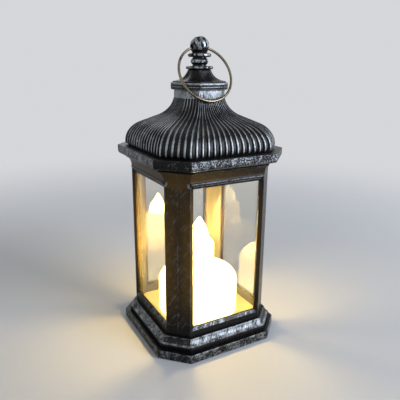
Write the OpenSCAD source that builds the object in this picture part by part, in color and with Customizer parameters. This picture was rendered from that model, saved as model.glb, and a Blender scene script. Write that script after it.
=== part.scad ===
// Lantern table lamp: an octagonal, battery-lit candle lantern with a ribbed ogee roof.
// Millimetres. +Z is up, the origin is the bottom centre, and the front window faces -Y.

/* [Body] */
// Width of the body across its window faces
body_w = 102; // [101:0.5:106]
// Leg of each corner chamfer on the body
corner_cut = 15.3; // [14:0.1:15.7]
// Thickness from the outside of a window frame to its inner face
frame_t = 4.8; // [4.4:0.1:5.4]
// Thickness of the corner posts
post_t = 3; // [2.4:0.1:3.6]

/* [Base] */
// Width of the plinth across its faces
plinth_w = 123.2; // [120:0.5:127]
// Height of the plinth band
plinth_h = 8.1; // [7:0.1:9]
// Height at which the base moulding meets the body
base_h = 18.6; // [17.5:0.1:20]

/* [Windows] */
// Width of the clear opening in each side
window_w = 64.2; // [60:0.2:64.8]
// Height of the sill at the pane
sill_z = 27.2; // [26:0.1:29]
// Height of the underside of the window head
head_z = 150.8; // [145:0.1:151.2]
// Width of the bevel that frames each window
bevel_w = 3.1; // [2.4:0.1:3.1]
// Thickness of the clear panes
pane_t = 1.4; // [1:0.1:1.5]

/* [Eaves] */
// Width of the eave rim across its faces
eave_w = 124; // [121:0.5:128]
// Height of the top of the eave rim
eave_z = 175.5; // [174:0.5:178]

/* [Roof] */
// Width across the crests of the ribs at the foot of the roof
roof_w = 111.2; // [108:0.2:113]
// Width of the neck below the collar plate
neck_w = 38.4; // [37:0.2:39]
// Height of the top of the neck
neck_z = 224.4; // [223.5:0.1:225.5]
// Ribs across each broad side of the roof
side_ribs = 14; // [10:1:16]
// Ribs across each narrow corner of the roof
corner_ribs = 5; // [4:1:6]
// Depth of the grooves between the ribs at the foot
rib_depth = 1.4; // [0.8:0.1:1.8]
// Thickness of the roof shell behind the grooves
roof_t = 2; // [1.6:0.1:2.4]

/* [Finial and ring] */
// Width of the collar plate across its faces
collar_w = 44; // [42:0.5:46]
// Diameter of the ball at the top
ball_d = 16.2; // [15:0.2:17.5]
// Height of the centre of the ball
ball_z = 260; // [259:0.1:261]
// Diameter of the hole through the ball
eye_d = 4.6; // [4.2:0.1:5]
// Diameter of the ring at the middle of its wire
ring_d = 48.8; // [48:0.2:50]
// Diameter of the ring's wire
ring_wire_d = 2.2; // [1.6:0.1:2.4]
// Lean of the resting ring from the upright
ring_lean = 27.2; // [27:0.1:29]

/* [Candle] */
// Diameter of the candle
candle_d = 74.8; // [72:0.2:78]
// Height above the table at which the cup rises from the candle
candle_z = 60; // [57:0.5:64]
// Radius of the candle's shoulder
candle_round_r = 12; // [8:0.5:16]
// Slope of the candle's top, in degrees
candle_crown = 15; // [5:1:20]
// Diameter of the cup below the flame
flame_cup_d = 29; // [26:0.2:30]
// Height of the tip of the flame above the table
flame_z = 108.5; // [104:0.5:112]

/* [Battery bay] */
// Diameter of one cell
cell_d = 10.5; // [10.2:0.1:10.5]
// Length of one cell
cell_l = 44.5; // [43.5:0.1:44.5]
// How far the battery door slides
door_travel = 5.5; // [4:0.5:6]
// How far the switch slides
switch_travel = 4; // [2:0.5:4]

/* [Hidden] */

$fn = 64;
overlap = 0.01;
running_gap = 0.3;
screw_r = 1.5;
screw_head_r = 3;

body_hw = body_w / 2;
face_hw = body_hw - corner_cut;
plinth_hw = plinth_w / 2;
eave_hw = eave_w / 2;
roof_hw = roof_w / 2;
neck_hw = neck_w / 2;
inside_hw = body_hw - frame_t;
inside_corner = (body_hw + face_hw) / sqrt(2) - post_t;

// Half width of a face at half width h of the moulding, where that grows out of the body
// by the same amount all round, or leaves the corner posts plain
function all_round(h) = face_hw + (h - body_hw) * tan(22.5);
function plain_posts(h) = face_hw + body_hw - h;
// Half width of a face whose neighbouring corner lies at distance d from the axis
function face_from_corner(h, d) = d * sqrt(2) - h;

// Points of an arc, from angle a0 to a1, in the half-width and height plane
function arc(h, z, r, a0, a1, steps) =
    [for (i = [0:steps]) let (a = a0 + (a1 - a0) * i / steps) [h + r * cos(a), z + r * sin(a)]];
// Points of a soft bend from p to q that heads for the corner c
function bend(p, c, q, steps) =
    [for (i = [0:steps]) let (t = i / steps) p * (1 - t) ^ 2 + c * 2 * t * (1 - t) + q * t ^ 2];

// A station is [half width, half width of a face, height]
function all_round_stations(points) = [for (p = points) [p[0], all_round(p[0]), p[1]]];
function face_stations(points) = [for (p = points) [p[0], face_hw, p[1]]];
function plain_post_stations(points) = [for (p = points) [p[0], plain_posts(p[0]), p[1]]];
function ratio_stations(points, ratio) = [for (p = points) [p[0], p[0] * ratio, p[1]]];

function both_sides(points) =
    concat(points, [for (i = [len(points) - 1:-1:0]) [-points[i][0], points[i][1]]]);
function face_outline(stations) = both_sides([for (s = stations) [s[0], s[2]]]);
function corner_outline(stations) = both_sides([for (s = stations) [(s[0] + s[1]) / sqrt(2), s[2]]]);

// An outline drawn upright, and run along a horizontal line that is turned about the axis
module upright_run(outline, turn, length) {
    rotate([0, 0, turn])
        rotate([90, 0, 90])
            linear_extrude(length, center = true)
                polygon(outline);
}

// A solid of octagonal section, the common part of four runs. The first one alone cuts its ends.
module octagonal(stations) {
    run_length = 4 * max([for (s = stations) s[0]]);
    first = stations[0];
    last = stations[len(stations) - 1];
    long = concat([first - [0, 0, 1]], stations, [last + [0, 0, 1]]);
    intersection() {
        upright_run(face_outline(stations), 0, run_length);
        upright_run(face_outline(long), 90, run_length);
        upright_run(corner_outline(long), 45, run_length);
        upright_run(corner_outline(long), 135, run_length);
    }
}

module octagonal_slab(hw, corner, z0, z1) {
    octagonal([[hw, face_from_corner(hw, corner), z0], [hw, face_from_corner(hw, corner), z1]]);
}

// ---- Side panels: plinth, base moulding, sill, half posts, head, cove and rim in one moulding ----

deck_seat_z = 11.6;
plinth_inside_hw = 54;
plinth_inside_corner = 64.4;
cove_r = 9.2;
cove_z = 156.8;
rim_z = 167;
rim_inside_hw = 49.6;
rim_inside_corner = 60;
rebate_lip = 2.1;
rebate_d = 1.5;
bevel_d = 1.5;
// Every ledge falls a little, as moulded ones do to leave the mould
ledge_fall = 0.12;

panel_outside = concat(
    all_round_stations([
        [plinth_hw - 0.6, 0], [plinth_hw, 0.6], [plinth_hw, plinth_h - 0.5],
        [plinth_hw - 0.5, plinth_h], [plinth_hw - 4.7, plinth_h + ledge_fall],
        [plinth_hw - 4.7, plinth_h + 2.3], [plinth_hw - 3.7, plinth_h + 2.9],
        [plinth_hw - 3.7, plinth_h + 4.3]
    ]),
    all_round_stations(bend(
        [plinth_hw - 4.4, plinth_h + 4.7], [plinth_hw - 7.2, plinth_h + 6.4],
        [body_hw + 2.8, base_h - 0.5], 5
    )),
    all_round_stations([
        [body_hw + 2.3, base_h], [body_hw, base_h + ledge_fall], [body_hw, head_z + 3.3]
    ]),
    plain_post_stations(arc(body_hw, head_z + 4.3, 0.9, -70, 70, 4)),
    face_stations(arc(body_hw + 0.2 + cove_r, cove_z, cove_r, 180, 128, 6)),
    // A small bead tops the cove, with a quirk between it and the rim
    face_stations([
        [body_hw + 4.9, rim_z - 2.7], [body_hw + 5.4, rim_z - 2.1], [body_hw + 4.9, rim_z - 1.5],
        [body_hw + 4.1, rim_z - 1.3]
    ]),
    all_round_stations(concat(
        [[body_hw + 4.1, rim_z - 0.4], [body_hw + 6.4, rim_z]],
        arc(eave_hw - 3.2, rim_z + 3.2, 3.2, -80, 0, 4),
        [[eave_hw, eave_z - 0.6], [eave_hw - 0.6, eave_z]]
    ))
);

panel_inside = [
    [plinth_inside_hw, face_from_corner(plinth_inside_hw, plinth_inside_corner), -1],
    [plinth_inside_hw, face_from_corner(plinth_inside_hw, plinth_inside_corner),
        deck_seat_z + ledge_fall],
    [inside_hw, face_from_corner(inside_hw, inside_corner), deck_seat_z],
    [inside_hw, face_from_corner(inside_hw, inside_corner), rim_z + 1],
    [rim_inside_hw, face_from_corner(rim_inside_hw, rim_inside_corner), rim_z + 1 + ledge_fall],
    [rim_inside_hw, face_from_corner(rim_inside_hw, rim_inside_corner), eave_z + 1]
];

// The cut from edge a to edge b of a window: straight through the wall, then out in a bevel
function window_outline(a, b) = [
    [-inside_hw + 2, a], [-inside_hw + 2, b], [-body_hw + bevel_d, b], [-body_hw, b + bevel_w],
    [-body_hw - 1, b + bevel_w], [-body_hw - 1, a - bevel_w], [-body_hw, a - bevel_w],
    [-body_hw + bevel_d, a]
];
function swapped(points) = [for (p = points) [p[1], p[0]]];

// The common part of an upright and a level cut has bevels that meet in mitres
module window_cut() {
    intersection() {
        upright_run(window_outline(sill_z, head_z), 0, eave_w);
        linear_extrude(eave_z)
            polygon(swapped(window_outline(-window_w / 2, window_w / 2)));
    }
}

module side_panel(turn) {
    color([0.17, 0.175, 0.18])
        rotate([0, 0, turn])
            difference() {
                intersection() {
                    octagonal(panel_outside);
                    linear_extrude(eave_z + 1)
                        polygon([[0, 0], [-eave_w, -eave_w], [eave_w, -eave_w]]);
                }
                octagonal(panel_inside);
                window_cut();
                translate([
                    -window_w / 2 - rebate_lip, -inside_hw - rebate_d, sill_z - rebate_lip
                ])
                    cube([
                        window_w + 2 * rebate_lip, rebate_d + 1,
                        head_z - sill_z + 2 * rebate_lip
                    ]);
            }
}

module window_pane(turn) {
    color([0.85, 0.9, 0.92, 0.3])
        rotate([0, 0, turn])
            translate([
                -window_w / 2 - rebate_lip, -inside_hw - rebate_d, sill_z - rebate_lip
            ])
                cube([window_w + 2 * rebate_lip, pane_t, head_z - sill_z + 2 * rebate_lip]);
}

module side_panel_front() side_panel(0);
module side_panel_right() side_panel(90);
module side_panel_back() side_panel(180);
module side_panel_left() side_panel(270);
module window_pane_front() window_pane(0);
module window_pane_right() window_pane(90);
module window_pane_back() window_pane(180);
module window_pane_left() window_pane(270);

// ---- Roof: an ogee of two arcs, ribbed all round ----

ogee_r = 20;
ogee_slope = 24.5;
ogee_top_z = 221;
ogee_foot_z = 178.5;
neck_face_hw = neck_hw * 0.55;
foot_face_hw = roof_hw * 0.68;
band_foot_z = neck_z - 6.8;
roof_cap_t = 3;
neck_groove = 0.4;

// Half width of a roof face, which widens steadily from the neck to the foot
function roof_face(h) =
    neck_face_hw + (foot_face_hw - neck_face_hw) * (h - neck_hw) / (roof_hw - neck_hw);

// The grooves deepen from the neck to the foot
function groove(z) =
    neck_groove + (rib_depth - neck_groove) * (band_foot_z - z) / (band_foot_z - ogee_foot_z);

// The ogee from the foot to the neck, drawn a distance t inside the crests of the ribs
function ogee(t, steps) = concat(
    arc(roof_hw - ogee_r, ogee_foot_z, ogee_r - t, 0, 90 - ogee_slope, steps),
    arc(neck_hw + ogee_r, ogee_top_z, ogee_r + t, 270 - ogee_slope, 190, steps)
);

// Rings are [half width at the crests, height, depth of the grooves], and go round the skin from
// the foot up the ribbed outside to the neck, over the cap and back down the smooth inside
ribbed_rings = concat(
    [[roof_hw - 1.6, eave_z, 0], [roof_hw - 0.5, ogee_foot_z - 1.4, rib_depth * 0.6]],
    [for (p = ogee(0, 4)) [p[0], p[1], groove(p[1])]]
);
inside_t = roof_t + rib_depth;
inside_curve = ogee(inside_t, 4);
smooth_rings = concat(
    [[neck_hw, band_foot_z, 0], [neck_hw, neck_z, 0]],
    [[0, neck_z, 0], [0, neck_z - roof_cap_t, 0]],
    [[neck_hw - inside_t, neck_z - roof_cap_t, 0]],
    [for (i = [len(inside_curve) - 1:-1:0]) [inside_curve[i][0], inside_curve[i][1], 0]],
    [[roof_hw - inside_t, eave_z, 0]]
);

// Four points to a rib: crest, flank, groove, flank
rib_shape = [0, 0.4, 1, 0.4];
rib_points = len(rib_shape);
rib_count = 4 * (side_ribs + corner_ribs);

function turned(p, a) = [p[0] * cos(a) - p[1] * sin(a), p[0] * sin(a) + p[1] * cos(a)];
function quarter_point(h, w, side, k) =
    k < side
    ? [-w + 2 * w * k / side, -h]
    : [w, -h] + [h - w, h - w] * (k - side) / (side * corner_ribs / side_ribs);
// Point i of a ring that has n points to each rib. A ring of no width is the screw hole.
function roof_point(ring, i, n) =
    let (
        quarter = n * (side_ribs + corner_ribs),
        k = i % quarter,
        h = ring[0] - ring[2] * rib_shape[i % rib_points],
        a = 90 * floor(i / quarter),
        p = quarter_point(h, roof_face(h), n * side_ribs, k)
    )
    ring[0] > 0
    ? [each turned(p, a), ring[1]]
    : [each turned([0, -screw_r - 0.1], a + 90 * k / quarter - 45), ring[1]];

// Two triangles to each step round a band of n points between ring a and ring b
function band(a, b, n) = [
    for (i = [0:n - 1]) let (j = (i + 1) % n) each [[a + i, b + j, a + j], [a + i, b + i, b + j]]
];
// The band between a ribbed ring at a and a smooth ring at b
function seam(a, b) = [
    for (i = [0:rib_count * rib_points - 1])
        let (
            j = (i + 1) % (rib_count * rib_points),
            m = floor(i / rib_points),
            next = floor(j / rib_points)
        )
        each concat(
            [[a + i, b + m, a + j]],
            m == next ? [] : [[a + j, b + m, b + next]]
        )
];
function flipped(faces) = [for (f = faces) [f[0], f[2], f[1]]];

module roof_shell() {
    ribbed_n = rib_count * rib_points;
    smooth_start = len(ribbed_rings) * ribbed_n;
    points = concat(
        [for (ring = ribbed_rings) for (i = [0:ribbed_n - 1]) roof_point(ring, i, rib_points)],
        [for (ring = smooth_rings) for (i = [0:rib_count - 1]) roof_point(ring, i, 1)]
    );
    faces = concat(
        [for (j = [0:len(ribbed_rings) - 2]) each band(j * ribbed_n, (j + 1) * ribbed_n, ribbed_n)],
        seam(smooth_start - ribbed_n, smooth_start),
        [for (j = [0:len(smooth_rings) - 2])
            each band(smooth_start + j * rib_count, smooth_start + (j + 1) * rib_count, rib_count)],
        flipped(seam(0, smooth_start + (len(smooth_rings) - 1) * rib_count))
    );
    color([0.2, 0.205, 0.21])
        polyhedron(points, faces);
}

// ---- Collar plate, turned finial and the screw that draws them down on the neck ----

collar_hw = collar_w / 2;
collar_ratio = 0.514;
collar_h = 6;
collar_step_h = 1.1;
flare_z = neck_z + collar_h + collar_step_h;
stem_z = 240.8;
stem_hw = 8.8;
screw_tip_z = 249;
flare = bend(
    [collar_hw - 3.2, flare_z + 0.2], [stem_hw + 2.4, flare_z + 1.6], [stem_hw, stem_z], 6
);
petal_r = 8;
petal_depth = 0.9;
corner_petal_depth = 0.6;

// Eight round cutters, one for the shallow petal that hollows each face of the flare
module petals() {
    middle = flare[3];
    slope = flare[6] - flare[0];
    outward = [slope[1], -slope[0]] / norm(slope);
    for (a = [0:45:315]) {
        on_face = a % 90 == 0;
        spread = on_face ? 1 : (1 + collar_ratio) / sqrt(2);
        centre = [spread * middle[0], middle[1]]
            + outward * (petal_r - (on_face ? petal_depth : corner_petal_depth));
        rotate([0, 0, a])
            translate([centre[0], 0, centre[1]])
                sphere(r = petal_r);
    }
}

module collar_plate() {
    reed = 0.35;
    stations = concat(
        [[collar_hw - 0.7, neck_z], [collar_hw, neck_z + 0.5]],
        [[collar_hw, neck_z + 1.3], [collar_hw - reed, neck_z + 1.5], [collar_hw, neck_z + 1.7]],
        [[collar_hw, neck_z + 3.5], [collar_hw - reed, neck_z + 3.7], [collar_hw, neck_z + 3.9]],
        [[collar_hw, neck_z + collar_h - 0.4], [collar_hw - 0.4, neck_z + collar_h]],
        [[collar_hw - 1.6, neck_z + collar_h + ledge_fall], [collar_hw - 1.6, flare_z - 0.3]],
        [[collar_hw - 1.9, flare_z], [collar_hw - 3, flare_z + ledge_fall]],
        flare
    );
    color([0.22, 0.225, 0.23])
        difference() {
            octagonal(ratio_stations(stations, collar_ratio));
            petals();
            translate([0, 0, neck_z - 1])
                cylinder(h = stem_z - neck_z + 2, r = screw_r + 0.05);
        }
}

// Outline of the turned finial, from the stem to the top of the ball
disc_r = [11.8, 10.1];
disc_z = [242.5, 252.6];
disc_t = [2.8, 3.2];
bead_r = 7.5;
bead_z = 247.6;
throat_r = 5.6;
throat_z = 255.8;

finial_outline = concat(
    [[0, stem_z], [stem_hw - 0.4, stem_z]],
    arc(disc_r[0] - disc_t[0] / 2, disc_z[0], disc_t[0] / 2, -90, 90, 6),
    [[bead_r - 1.4, disc_z[0] + disc_t[0] / 2]],
    arc(bead_r - 3, bead_z, 3, -62, 62, 6),
    [[bead_r - 1.6, disc_z[1] - disc_t[1] / 2]],
    arc(disc_r[1] - disc_t[1] / 2, disc_z[1], disc_t[1] / 2, -90, 90, 6),
    [[throat_r, disc_z[1] + disc_t[1] / 2]],
    arc(throat_r, throat_z - 0.4, 1.1, -80, 80, 4),
    [[throat_r - 0.6, throat_z + 0.8], [0, throat_z + 0.8]]
);

eye_z = ball_z - 1.3;

module finial() {
    color([0.2, 0.205, 0.21])
        difference() {
            union() {
                rotate_extrude()
                    polygon(finial_outline);
                translate([0, 0, ball_z])
                    sphere(d = ball_d);
            }
            translate([-ball_d, 0, eye_z])
                rotate([0, 90, 0])
                    cylinder(h = 2 * ball_d, d = eye_d);
            translate([0, 0, stem_z - 1])
                cylinder(h = screw_tip_z - stem_z + 1.5, r = screw_r + 0.05);
        }
}

module finial_screw() {
    slot_z = neck_z - 3;
    color([0.62, 0.63, 0.64])
        difference() {
            union() {
                translate([0, 0, slot_z - 2])
                    cylinder(h = 2, r1 = screw_head_r - 0.8, r2 = screw_head_r);
                translate([0, 0, slot_z - overlap])
                    cylinder(h = screw_tip_z - slot_z - 2 + overlap, r = screw_r);
                translate([0, 0, screw_tip_z - 2])
                    cylinder(h = 2, r1 = screw_r, r2 = 0.4);
            }
            cross_recess(slot_z - 2, 1.2);
        }
}

// Cross recess in a screw head, cut upwards from height z
module cross_recess(z, depth) {
    for (a = [0, 90])
        rotate([0, 0, a])
            translate([-1.6, -0.35, z - 1])
                cube([3.2, 0.7, depth + 1]);
}

// The ring turns about the eye, with the middle of its wire's arc in the eye on that axis
eye_sag = 0.64;

module hanging_ring() {
    color([0.55, 0.47, 0.36])
        translate([0, 0, eye_z])
            rotate([-ring_lean, 0, 0])
                translate([0, 0, eye_sag - ring_d / 2])
                    rotate([90, 0, 0])
                        rotate_extrude($fn = 96)
                            translate([ring_d / 2, 0])
                                circle(d = ring_wire_d, $fn = 24);
}

// ---- Inner deck, candle and light ----

deck_t = 2;
deck_z = 16.6;
deck_flange_t = 2.2;
boss_r = 3.4;
boss_at = 42.5;
base_plate_z = 1;
base_plate_t = 1.8;
lead_hole_r = 4;
candle_r = candle_d / 2;
candle_wall = 1.8;
cup_r = flame_cup_d / 2;
cup_z = 86.5;
flame_r = 9.8;
flame_waist = [5.6, flame_z - 8.6];
led_z = 81;
board_r = cup_r - 2.2;
board_t = 1.6;

function corners(at) = [for (x = [-at, at]) for (y = [-at, at]) [x, y, 0]];

module inner_deck() {
    flange_z = deck_seat_z - deck_flange_t;
    flange_hw = plinth_inside_hw - 0.3;
    flange_corner = plinth_inside_corner - 0.3;
    floor_hw = inside_hw - 0.2;
    floor_corner = inside_corner - 0.2;
    boss_top = base_plate_z + base_plate_t;
    color([0.25, 0.22, 0.17])
        difference() {
            union() {
                octagonal_slab(flange_hw, flange_corner, flange_z, deck_seat_z);
                octagonal_slab(floor_hw, floor_corner, deck_seat_z - 1, deck_z);
                for (p = corners(boss_at))
                    translate([p[0], p[1], boss_top])
                        cylinder(h = flange_z - boss_top + 1, r = boss_r);
                // Low ring that centres the candle
                translate([0, 0, deck_z - overlap])
                    difference() {
                        cylinder(h = 2, r = candle_r - candle_wall - 0.1);
                        translate([0, 0, -1])
                            cylinder(h = 4, r = candle_r - candle_wall - 1.6);
                    }
            }
            octagonal_slab(floor_hw - deck_t, floor_corner - deck_t, flange_z - 1, deck_z - deck_t);
            translate([0, 0, deck_z - deck_t - 1])
                cylinder(h = deck_t + 2, r = lead_hole_r);
            for (p = corners(boss_at))
                translate([p[0], p[1], boss_top - 1])
                    cylinder(h = 7, r = screw_r - 0.1);
        }
}

// The candle's outline a distance t inside its skin: wall, round shoulder and sloping top
shoulder_hw = candle_r - candle_round_r;
shoulder_z =
    candle_z - (shoulder_hw - cup_r) * tan(candle_crown) - candle_round_r / cos(candle_crown);
function candle_outline(t, foot_z) =
    let (top_z = candle_z - t / cos(candle_crown))
    concat(
        [[0, foot_z], [candle_r - t, foot_z]],
        arc(shoulder_hw, shoulder_z, candle_round_r - t, 0, 90 - candle_crown, 8),
        [[cup_r, top_z], [0, top_z]]
    );

module candle_shell() {
    color([1, 0.94, 0.78])
        difference() {
            rotate_extrude()
                polygon(candle_outline(0, deck_z));
            rotate_extrude()
                polygon(candle_outline(candle_wall, deck_z - 1));
            translate([0, 0, candle_z - candle_wall - 1])
                cylinder(h = candle_wall + 2, r = cup_r - 3);
        }
}

cup_outside = concat(
    [[0, candle_z], [cup_r, candle_z]],
    bend([cup_r - 0.1, cup_z - 5.5], [cup_r - 0.5, cup_z - 0.8], [flame_r + 0.2, cup_z], 4),
    [[0, cup_z]]
);
cup_inside = concat(
    [[0, candle_z - 1], [cup_r - 1.6, candle_z - 1], [board_r + 0.2, led_z], [board_r - 1, led_z]],
    [[9, cup_z - 1.6], [0, cup_z - 1.6]]
);

module flame_cup() {
    color([1, 0.95, 0.82])
        difference() {
            rotate_extrude()
                polygon(cup_outside);
            rotate_extrude()
                polygon(cup_inside);
            translate([0, 0, cup_z - 3])
                cylinder(h = 4, r = 6);
        }
}

flame_outside = concat(
    bend([flame_r, cup_z], [flame_r - 1.2, cup_z + 8.4], flame_waist, 6),
    bend(flame_waist, [3.4, flame_z - 4.4], [0, flame_z], 5)
);

module flame_lens() {
    color([1, 0.97, 0.86])
        difference() {
            rotate_extrude()
                polygon(concat([[0, cup_z]], flame_outside));
            translate([0, 0, cup_z - 1])
                cylinder(h = 9, r1 = 7.5, r2 = 5.5);
        }
}

module led() {
    color([1, 0.93, 0.7])
        union() {
            translate([0, 0, led_z])
                cylinder(h = 1, r = 2.9);
            translate([0, 0, led_z + 1 - overlap])
                cylinder(h = 5.2, r = 2.5);
            translate([0, 0, led_z + 6.2 - 2 * overlap])
                sphere(r = 2.5);
        }
}

// Round board held on the underside of the cup by its rim
module led_board() {
    color([0.2, 0.42, 0.25])
        union() {
            translate([0, 0, led_z - board_t])
                cylinder(h = board_t, r = board_r);
            translate([4.5, -1, led_z - overlap])
                cube([3.2, 1.6, 0.9]);
            translate([-7.5, -0.8, led_z - overlap])
                cube([3, 1.6, 0.9]);
        }
}

lead_r = 0.7;
tray_z = base_plate_z + base_plate_t;
tray_top_z = 14.5;

module led_leads() {
    for (side = [-1, 1])
        color(side < 0 ? "firebrick" : [0.1, 0.1, 0.1])
            translate([2.2 * side, 0, tray_top_z])
                cylinder(h = led_z - board_t - tray_top_z, r = lead_r, $fn = 24);
}

// ---- Base plate, battery bay and switch ----

door_w = 37;
door_l = 50;
door_t = 1.5;
door_y = -door_l / 2;
slot_w = door_w + 2 * running_gap;
slot_l = door_l + door_travel + 2 * running_gap;
tongue_l = 5;
tongue_reach = 2;
tongue_y = [-20, 12];
tray_hw = 22.4;
tray_hl = 27;
tray_wall = 1.2;
contact_t = 0.4;
contact_y = tray_hl - tray_wall - contact_t;
cell_pitch = 11;
cell_z = tray_top_z - tray_wall - cell_d / 2;
cell_shift = contact_y - cell_l / 2;
nub_l = 1;
nub_d = 3.6;
spring_wire_r = 0.35;
spring_curls = 4;
switch_at = [36, 2];
switch_l = 13;
switch_w = 6.6;
switch_h = 5;
knob_l = 4.4;
knob_w = 3;
knob_z = 0.5;

module base_plate() {
    top_z = base_plate_z + base_plate_t;
    color([0.13, 0.13, 0.135])
        difference() {
            octagonal_slab(
                plinth_inside_hw - 0.3, plinth_inside_corner - 0.3, base_plate_z, top_z
            );
            translate([-slot_w / 2, door_y - running_gap, 0])
                cube([slot_w, slot_l, 5]);
            // Notches that let the door's tongues out once it has slid
            for (y = tongue_y)
                translate([
                    -slot_w / 2 - tongue_reach, y + door_travel - running_gap, 0
                ])
                    cube([slot_w + 2 * tongue_reach, tongue_l + 2 * running_gap, 5]);
            translate([
                switch_at[0] - knob_w / 2 - running_gap,
                switch_at[1] - knob_l / 2 - switch_travel - running_gap, 0
            ])
                cube([knob_w + 2 * running_gap, knob_l + switch_travel + 2 * running_gap, 5]);
            for (p = corners(boss_at))
                translate([p[0], p[1], 0])
                    cylinder(h = 5, r = screw_r + 0.1);
        }
}

module base_screws() {
    head_t = 0.8;
    color([0.62, 0.63, 0.64])
        for (p = corners(boss_at))
            translate([p[0], p[1], base_plate_z])
                difference() {
                    union() {
                        translate([0, 0, -head_t])
                            cylinder(h = head_t, r = screw_head_r - 0.2);
                        translate([0, 0, -overlap])
                            cylinder(h = 7, r = screw_r - 0.1);
                    }
                    cross_recess(-head_t, 0.5);
                }
}

module battery_tray() {
    inside_l = 2 * (tray_hl - tray_wall);
    color([0.15, 0.15, 0.155])
        difference() {
            translate([-tray_hw, -tray_hl, tray_z])
                cube([2 * tray_hw, 2 * tray_hl, tray_top_z - tray_z]);
            translate([-tray_hw + tray_wall, -inside_l / 2, tray_z - 1])
                cube([2 * (tray_hw - tray_wall), inside_l, tray_top_z - tray_wall - tray_z + 1]);
        }
}

// Cells lie side by side, turned end for end, each against its plate and held there by a spring
module for_each_cell() {
    for (i = [-1:1])
        translate([i * cell_pitch, 0, cell_z])
            rotate([0, 0, i == 0 ? 180 : 0])
                children();
}

module battery_cells() {
    for_each_cell()
        translate([0, contact_y, 0])
            rotate([90, 0, 0]) {
                color([0.7, 0.7, 0.72])
                    cylinder(h = nub_l + overlap, d = nub_d);
                color([0.75, 0.6, 0.3])
                    translate([0, 0, nub_l])
                        cylinder(h = cell_l - nub_l, d = cell_d);
            }
}

module contact_plates() {
    color([0.8, 0.8, 0.78])
        for_each_cell()
            translate([-3.6, contact_y, -4])
                cube([7.2, contact_t, 8]);
}

// A tube along a helix that widens from the cell's end to the wall of the tray
module spring(length, r0, r1) {
    rings = 8 * spring_curls;
    sides = 6;
    function spring_point(i, k) =
        let (
            t = i / rings,
            a = 360 * spring_curls * t,
            r = r0 + (r1 - r0) * t + spring_wire_r * cos(360 * k / sides)
        )
        [r * cos(a), length * t + spring_wire_r * sin(360 * k / sides), r * sin(a)];
    points = [for (i = [0:rings]) for (k = [0:sides - 1]) spring_point(i, k)];
    walls = [
        for (i = [0:rings - 1]) for (k = [0:sides - 1])
            let (a = i * sides + k, b = i * sides + (k + 1) % sides)
            each [[a, b + sides, b], [a, a + sides, b + sides]]
    ];
    first = [for (k = [0:sides - 1]) k];
    last = [for (k = [sides - 1:-1:0]) rings * sides + k];
    polyhedron(points, concat(walls, [first, last]));
}

module contact_springs() {
    gap = contact_y + cell_shift - cell_l / 2 + contact_t;
    color([0.8, 0.8, 0.78])
        for_each_cell()
            translate([0, -contact_y - contact_t + spring_wire_r, 0])
                spring(gap - 2 * spring_wire_r, 3.8, 2.4);
}

module battery_door() {
    tongue_z = base_plate_z + base_plate_t + running_gap;
    tongue_t = 0.8;
    color([0.14, 0.14, 0.145])
        union() {
            translate([-door_w / 2, door_y, base_plate_z])
                cube([door_w, door_l, door_t]);
            for (y = tongue_y) for (side = [0, 1])
                mirror([side, 0, 0])
                    translate([door_w / 2 - 1.6, y, base_plate_z + door_t - overlap]) {
                        cube([1.6, tongue_l, tongue_z + tongue_t - base_plate_z - door_t]);
                        translate([0, 0, tongue_z - base_plate_z - door_t])
                            cube([1.6 + tongue_reach, tongue_l, tongue_t]);
                    }
        }
}

module switch_housing() {
    cavity_l = knob_l + switch_travel + 2 * running_gap;
    cavity_w = knob_w + 2 * running_gap;
    middle_y = switch_at[1] - switch_travel / 2;
    color([0.3, 0.3, 0.32])
        difference() {
            translate([switch_at[0] - switch_w / 2, middle_y - switch_l / 2, tray_z])
                cube([switch_w, switch_l, switch_h]);
            translate([switch_at[0] - cavity_w / 2, middle_y - cavity_l / 2, tray_z - 1])
                cube([cavity_w, cavity_l, switch_h]);
        }
}

module switch_slider() {
    top_z = tray_z + switch_h - 1 - running_gap;
    color([0.85, 0.85, 0.85])
        translate([switch_at[0] - knob_w / 2, switch_at[1] - knob_l / 2, knob_z])
            cube([knob_w, knob_l, top_z - knob_z]);
}

side_panel_front();
side_panel_right();
side_panel_back();
side_panel_left();
window_pane_front();
window_pane_right();
window_pane_back();
window_pane_left();
roof_shell();
collar_plate();
finial();
finial_screw();
hanging_ring();
inner_deck();
candle_shell();
flame_cup();
flame_lens();
led();
led_board();
led_leads();
base_plate();
base_screws();
battery_tray();
battery_cells();
contact_springs();
contact_plates();
battery_door();
switch_housing();
switch_slider();
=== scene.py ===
import math

import bmesh
import bpy
import numpy as np
from mathutils import Matrix, Vector


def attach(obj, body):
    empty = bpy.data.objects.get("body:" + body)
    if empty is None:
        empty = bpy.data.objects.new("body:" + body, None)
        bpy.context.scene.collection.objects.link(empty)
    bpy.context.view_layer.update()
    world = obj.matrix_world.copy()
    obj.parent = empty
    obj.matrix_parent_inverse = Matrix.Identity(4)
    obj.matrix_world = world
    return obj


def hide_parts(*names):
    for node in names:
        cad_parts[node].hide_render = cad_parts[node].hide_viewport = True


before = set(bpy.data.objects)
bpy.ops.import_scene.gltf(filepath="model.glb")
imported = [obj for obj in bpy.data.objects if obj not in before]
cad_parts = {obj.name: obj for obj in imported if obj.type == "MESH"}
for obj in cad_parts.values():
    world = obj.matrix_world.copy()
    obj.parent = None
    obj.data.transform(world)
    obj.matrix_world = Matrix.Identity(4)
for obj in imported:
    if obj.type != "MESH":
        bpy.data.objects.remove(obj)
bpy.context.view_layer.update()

scene = bpy.context.scene
scene.view_settings.view_transform = "Standard"
# The flame's mirror image in the panes keeps its full brightness
scene.cycles.sample_clamp_indirect = 60

MM = 0.001
UP = Vector((0, 0, 1))

# ---------------------------------------------------------------- sizes
# In millimetres, as the CAD model has them. HW is half a width across the lantern, Z a height, R a
# radius and T a thickness. The slope, the crown and the lean are in degrees.

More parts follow.
